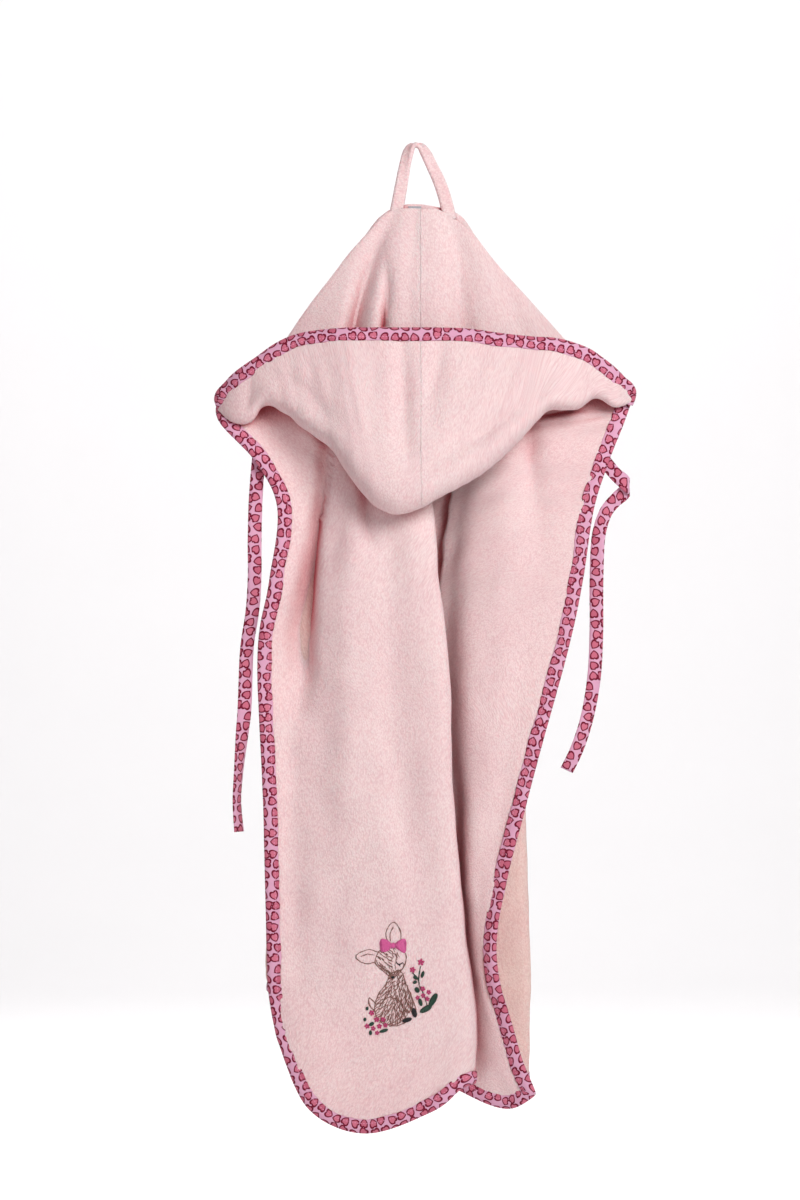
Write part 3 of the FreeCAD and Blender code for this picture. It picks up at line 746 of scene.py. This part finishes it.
def make_loop():
    """The strip lies flat over the peg and turns to face forward where it is sewn in."""
    points = np.array(LOOP, float)
    run = unit(np.gradient(points, axis=0))
    rows = []
    for i, p in enumerate(points):
        t = 2 * i / (len(points) - 1) - 1
        turn, lean = math.pi / 2 * min(1, 1.5 * abs(t)), 1.4 * t
        face = (math.cos(turn) * math.sin(lean), -math.sin(turn), math.cos(turn) * math.cos(lean))
        side = unit(np.cross(run[i], face))
        rows.append((*p, *(side * (0.8 + 0.28 * abs(t)))))
    loop = ribbon("hanging_loop_terry", rows, LOOP_WIDE, LOOP_THICK, TERRY_LOOK, step=2.0)
    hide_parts("hanging_loop")
    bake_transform(loop)


def make_label():
    """A small blank folded label, sewn into the neckline seam."""
    left, right, low, high, y = LABEL
    rows, columns = 8, 6
    x, z = np.meshgrid(np.linspace(left, right, columns), np.linspace(high, low, rows))
    grid = np.stack([x, np.full_like(x, y), z], axis=-1)
    label = cloth("care_label_satin", grid, np.full((rows, columns), 0.3), shaded_label_looks())
    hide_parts("care_label")
    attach(label, "towel")


# ---- the embroidery ---------------------------------------------------------------------------

class Embroidery:
    """Stitches of one thread colour on the cape's front, each a short tube that follows the cloth."""

    def __init__(self, tree, radius):
        self.tree, self.radius = tree, radius
        self.verts, self.faces, self.uvs = [], [], []

    def height(self, x, z):
        hit = self.tree.ray_cast(Vector((x * MM, -0.2, z * MM)), Vector((0, 1, 0)))[0]
        return hit.y / MM

    def thread(self, points, radius=None, lift=0.15):
        """One stitch along the points, which are (x, z)."""
        points = np.asarray(points, float)
        radius = radius or self.radius
        sides = 5
        path = np.array([(x, self.height(x, z) - lift - radius * 0.4, z) for x, z in points])
        run = unit(np.gradient(path, axis=0))
        across = unit(np.cross(run, (0, 1, 0)))
        out = np.cross(across, run)
        first = len(self.verts)
        reach = lengths(path) + RNG.uniform(0, 900)
        for i, p in enumerate(path):
            size = radius * (0.55 if i in (0, len(path) - 1) else 1)
            for k in range(sides):
                angle = 2 * math.pi * k / sides
                self.verts.append(p + size * (math.cos(angle) * across[i] + math.sin(angle) * out[i]))
                self.uvs.append((reach[i], k * 0.4 + first))
        for i in range(len(path) - 1):
            for k in range(sides):
                a, b = first + i * sides + k, first + i * sides + (k + 1) % sides
                self.faces.append((a, b, b + sides, a + sides))
        last = first + (len(path) - 1) * sides
        self.faces.append([first + k for k in range(sides)][::-1])
        self.faces.append([last + k for k in range(sides)])

    def outline(self, points, stitch=2.6, passes=2, spread=0.22, radius=None):
        """Rows of short stitches along a smooth line."""
        for _ in range(passes):
            total = lengths(spline(points, np.linspace(0, len(points) - 1, 40)))[-1]
            t = even(points, count=max(3, int(total / stitch) + 1))
            places = spline(points, t) + RNG.normal(0, spread, (len(t), 2))
            for a, b in zip(places, places[1:]):
                reach = (b - a) * 0.12
                self.thread([a - reach, (a + b) / 2, b + reach], radius)

    def hair(self, border, flow, gap=2.3, length=4.5):
        """Short loose stitches that fill a shape and follow flow, a function of place."""
        border = spline(border + border[:1], np.linspace(0, len(border), 60))
        low, high = border.min(axis=0), border.max(axis=0)
        for x in np.arange(low[0], high[0], gap):
            for z in np.arange(low[1], high[1], gap):
                p = np.array([x, z]) + RNG.uniform(-0.5, 0.5, 2) * gap
                if not within(border, p):
                    continue
                way = flow(p) + RNG.normal(0, 0.25)
                reach = np.array([math.cos(way), math.sin(way)]) * length * RNG.uniform(0.35, 0.6)
                bow = np.array([-reach[1], reach[0]]) * RNG.uniform(-0.2, 0.2)
                self.thread([p - reach, p + bow, p + reach])

    def satin(self, border, angle, gap=0.55, radius=None):
        """Closely laid parallel stitches that fill a shape."""
        border = spline(border + border[:1], np.linspace(0, len(border), 60))
        along_way = np.array([math.cos(angle), math.sin(angle)])
        over = np.array([-along_way[1], along_way[0]])
        side = border @ over
        for level in np.arange(side.min() + gap / 2, side.max(), gap):
            crossings = []
            for a, b in zip(border, border[1:]):
                sa, sb = a @ over - level, b @ over - level
                if sa * sb < 0:
                    crossings.append((a + (b - a) * sa / (sa - sb)) @ along_way)
            crossings.sort()
            for low, high in zip(crossings[::2], crossings[1::2]):
                places = [along_way * t + over * level for t in np.linspace(low - 0.2, high + 0.2, 4)]
                self.thread(places, radius, lift=0.3)

    def piece(self, name, node, slot, light, dark):
        made = new_piece(name, self.verts, self.faces, self.uvs, thread_looks(slot, light, dark))
        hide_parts(node)
        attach(made, "towel")


def within(border, p):
    """Whether the point lies inside the closed border."""
    inside = False
    for (ax, az), (bx, bz) in zip(border, border[1:]):
        if (az > p[1]) != (bz > p[1]) and p[0] < ax + (bx - ax) * (p[1] - az) / (bz - az):
            inside = not inside
    return inside


def disc(x, z, wide, tall, turn=0.0, count=8):
    """The points round an oval."""
    angles = np.arange(count) * 2 * math.pi / count
    dx, dz = wide * np.cos(angles), tall * np.sin(angles)
    c, s = math.cos(turn), math.sin(turn)
    return [(x + a * c - b * s, z + a * s + b * c) for a, b in zip(dx, dz)]


HEAD = [(-34, -728), (-27, -724), (-16, -724), (-9.5, -729), (-9.5, -738), (-14, -746), (-20, -751),
        (-25, -749), (-32, -743), (-37, -737)]
EARS = [[(-25, -719), (-27, -710), (-20.5, -701), (-14, -709), (-14, -719)],
        [(-34, -728), (-44, -726), (-54.5, -732), (-46, -738.5), (-37, -737)]]
INNER_EARS = [[(-23, -718), (-23.5, -711), (-20.5, -706)], [(-38, -731), (-44, -730), (-49, -732)]]
TORSO = [(-24, -748), (-14, -745), (-9, -756), (-5, -766), (-3, -776), (-8, -784), (-14, -791),
         (-24, -794), (-34, -789), (-37, -778), (-34, -766), (-27, -757)]
LIMBS = [[(-10, -762), (-8.5, -772), (-3.5, -780)], [(-5, -765), (-2, -773), (0, -780)],
         [(-33, -777), (-25, -769), (-15, -772), (-11, -780), (-15, -788), (-24, -793)],
         [(-24, -795), (-15, -794), (-6, -789)], [(-36, -775), (-42, -769), (-42, -776), (-37, -782)]]
FACE_LINES = [[(-33, -741), (-27, -744), (-22, -750)], [(-10.5, -739), (-11.5, -742), (-14, -745)]]
EYE = [(-18, -737), (-15.5, -739.5), (-12.5, -737.5)]
BOW = [[(-20.5, -722), (-27, -717), (-32, -717.5), (-31.5, -727), (-26, -727)],
       [(-20.5, -722), (-14, -717), (-9.5, -717), (-9.5, -728), (-15, -726.5)]]
FLOWERS = [(4.5, -737, 3.4), (-3, -744, 3.0), (6, -761, 2.6), (11.5, -764, 2.4), (6.5, -767, 2.4),
           (1.5, -769, 2.2), (10, -770, 2.4), (-40, -783, 2.8), (-35.5, -789, 2.8), (-29.5, -789, 2.6),
           (-27.5, -794, 2.4), (-44, -795, 2.6), (-38.5, -797, 2.4), (-33, -795, 2.6), (-35, -801, 2.2)]
STEMS = [[(4, -741), (2.5, -750), (3, -758)], [(-3, -747), (1, -751), (3, -755)],
         [(3, -758), (7, -766), (10, -776)]]
LEAVES = [(-0.5, -751, 2.2, 1.3, -0.5), (6, -748, 1.3, 3.0, -0.3), (-1, -755, 1.9, 1.3, 0.4),
          (1, -762, 2.0, 2.6, 0.6), (15.5, -771, 2.6, 6.6, -0.5), (9, -779, 6.0, 2.4, 0.5),
          (4, -773, 1.6, 3.4, 0.3), (-44, -779, 1.2, 1.6, 0), (-40, -793, 2.4, 1.4, 0.5),
          (-29, -799, 4.0, 1.3, 0.3), (-41, -801, 1.3, 2.0, 0), (-46, -789, 1.2, 1.5, 0)]
HOOVES = [((-1.5, -782.5), 2.2, 4.2, 0.25), ((-8, -789), 4.4, 1.8, 0.3)]


def closed_line(points):
    return points + points[:1]


def make_embroidery(cape):
    """A sitting fawn with a bow, and small flowers at both sides."""
    bpy.context.view_layer.update()
    front = BVHTree.FromObject(cape, bpy.context.evaluated_depsgraph_get())
    fawn = Embroidery(front, 0.32)
    for line in [closed_line(HEAD)] + EARS + INNER_EARS + LIMBS + FACE_LINES + [closed_line(TORSO)]:
        fawn.outline(line)
    fawn.hair(HEAD[:3] + HEAD[6:], lambda p: -0.75 if p[0] < -22 else -1.3, gap=2.6, length=4.0)
    fawn.hair(TORSO, lambda p: -1.9 + (p[0] + 20) * 0.035 + (p[1] + 770) * -0.012, gap=2.2, length=5.0)
    bow = Embroidery(front, 0.40)
    for wing in BOW:
        bow.satin(wing, 0.1, gap=0.62)
        bow.outline(closed_line(wing), stitch=2.4, passes=1, radius=0.4)
    bow.satin(disc(-20.5, -722.2, 1.8, 2.6), 1.3)
    flower = Embroidery(front, 0.40)
    for x, z, size in FLOWERS:
        start = RNG.uniform(0, 2)
        for k in range(5):
            angle = start + 2 * math.pi * k / 5
            for lean in (-0.3, 0.0, 0.3):
                a, far = angle + lean, size * (1 - abs(lean) * 0.5)
                flower.thread([(x + r * math.cos(a), z + r * math.sin(a)) for r in (0.5, far * 0.6, far)])
    leaf = Embroidery(front, 0.40)
    for line in STEMS:
        leaf.outline(line, passes=3, radius=0.36)
    for x, z, wide, tall, turn in LEAVES:
        leaf.satin(disc(x, z, wide, tall, turn), turn + (0.3 if wide < tall else 1.9), gap=0.5)
    hoof = Embroidery(front, 0.40)
    for (x, z), wide, tall, turn in HOOVES:
        hoof.satin(disc(x, z, wide, tall, turn), turn + 0.4, gap=0.5)
    hoof.satin(disc(-20.8, -750.8, 1.6, 1.1), 0.2, gap=0.5)
    hoof.outline(EYE, stitch=1.6, passes=3, radius=0.4)
    for x, z in EYE[1:]:
        hoof.thread([(x, z), (x + 0.9, z - 1.0), (x + 1.6, z - 1.4)], 0.28)
    fawn.piece("fawn_stitches", "fawn_embroidery", "brown_thread", colour(150, 112, 96), colour(92, 62, 54))
    bow.piece("bow_stitches", "bow_embroidery", "pink_thread", colour(236, 118, 178), colour(206, 70, 140))
    flower.piece("flower_stitches", "flower_embroidery", "magenta_thread",
                 colour(216, 60, 130), colour(168, 24, 92))
    leaf.piece("leaf_stitches", "leaf_embroidery", "green_thread", colour(24, 74, 54), colour(10, 40, 30))
    hoof.piece("hoof_stitches", "hoof_embroidery", "black_thread", colour(34, 30, 34), colour(12, 10, 12))


# ---- light, floor and camera ------------------------------------------------------------------

def area_light(name, place, target, size, power, tint=(1.0, 1.0, 1.0)):
    data = bpy.data.lights.new(name, "AREA")
    data.shape, data.size, data.energy, data.color = "DISK", size, power, tint
    lamp = bpy.data.objects.new(name, data)
    lamp.location = place
    lamp.rotation_euler = (Vector(target) - Vector(place)).to_track_quat("-Z", "Y").to_euler()
    bpy.context.collection.objects.link(lamp)


def make_stage():
    """A pale floor that sweeps up far behind the object, and soft lights in front of and behind it."""
    level, bend_y, bend_radius = -1.25, 4.6, 1.6
    bend = [(bend_y + bend_radius * math.sin(a), level + bend_radius * (1 - math.cos(a)))
            for a in np.linspace(0, math.pi / 2, 12)]
    profile = [(-7.0, level), *bend, (bend_y + bend_radius, 5.0)]
    verts = [(side, y, z) for y, z in profile for side in (-8.0, 8.0)]
    data = bpy.data.meshes.new("floor")
    data.from_pydata(verts, [], quads(len(profile), 2, flip=True).tolist())
    data.polygons.foreach_set("use_smooth", np.ones(len(data.polygons), bool))
    data.materials.append(plain_looks("floor", (0.93, 0.93, 0.935, 1.0), 0.9))
    floor = bpy.data.objects.new("floor", data)
    bpy.context.collection.objects.link(floor)
    area_light("key", (1.05, -2.0, 0.75), (0, 0, -0.35), 1.2, 55)
    area_light("fill", (-1.9, -2.4, -0.3), (0, 0, -0.42), 2.0, 9, (1.0, 0.76, 0.80))
    area_light("backdrop", (0, 1.6, 2.6), (0, 6.0, -0.6), 2.5, 195)
    area_light("back", (-2.3, 2.1, 0.9), (0, 0, -0.45), 1.6, 26)
    world = bpy.data.worlds.new("world")
    world.use_nodes = True
    world.node_tree.nodes["Background"].inputs[0].default_value = (1.0, 0.87, 0.89, 1.0)
    world.node_tree.nodes["Background"].inputs[1].default_value = 0.17
    bpy.context.scene.world = world
    bpy.context.scene.view_settings.view_transform = "Standard"


def make_camera():
    """A long lens, level with the object's middle, that frames 1.08 m."""
    far, tall = 3.4, 1.08
    x, y, z = -0.0144, -0.03, -0.4113    # the place it looks straight at
    data = bpy.data.cameras.new("camera")
    data.sensor_fit, data.sensor_height = "VERTICAL", 36
    data.lens = data.sensor_height * far / tall
    camera = bpy.data.objects.new("camera", data)
    camera.location = (x, y - far, z)
    camera.rotation_euler = (math.pi / 2, 0, 0)
    bpy.context.collection.objects.link(camera)
    bpy.context.scene.camera = camera


cape = make_cape()
make_cape_binding()
hood_left, hood_right = split_hood()
left_panel = make_hood_panel("hood_left_panel_terry", hood_left,
                             ("hood_left_panel_back", "hood_left_panel_front"))
right_panel = make_hood_panel("hood_right_panel_terry", hood_right,
                              ("hood_right_panel_back", "hood_right_panel_front"))
make_hood_binding()
left_tie, right_tie = make_ties()
make_loop()
make_label()
make_embroidery(cape)
make_stage()
make_camera()
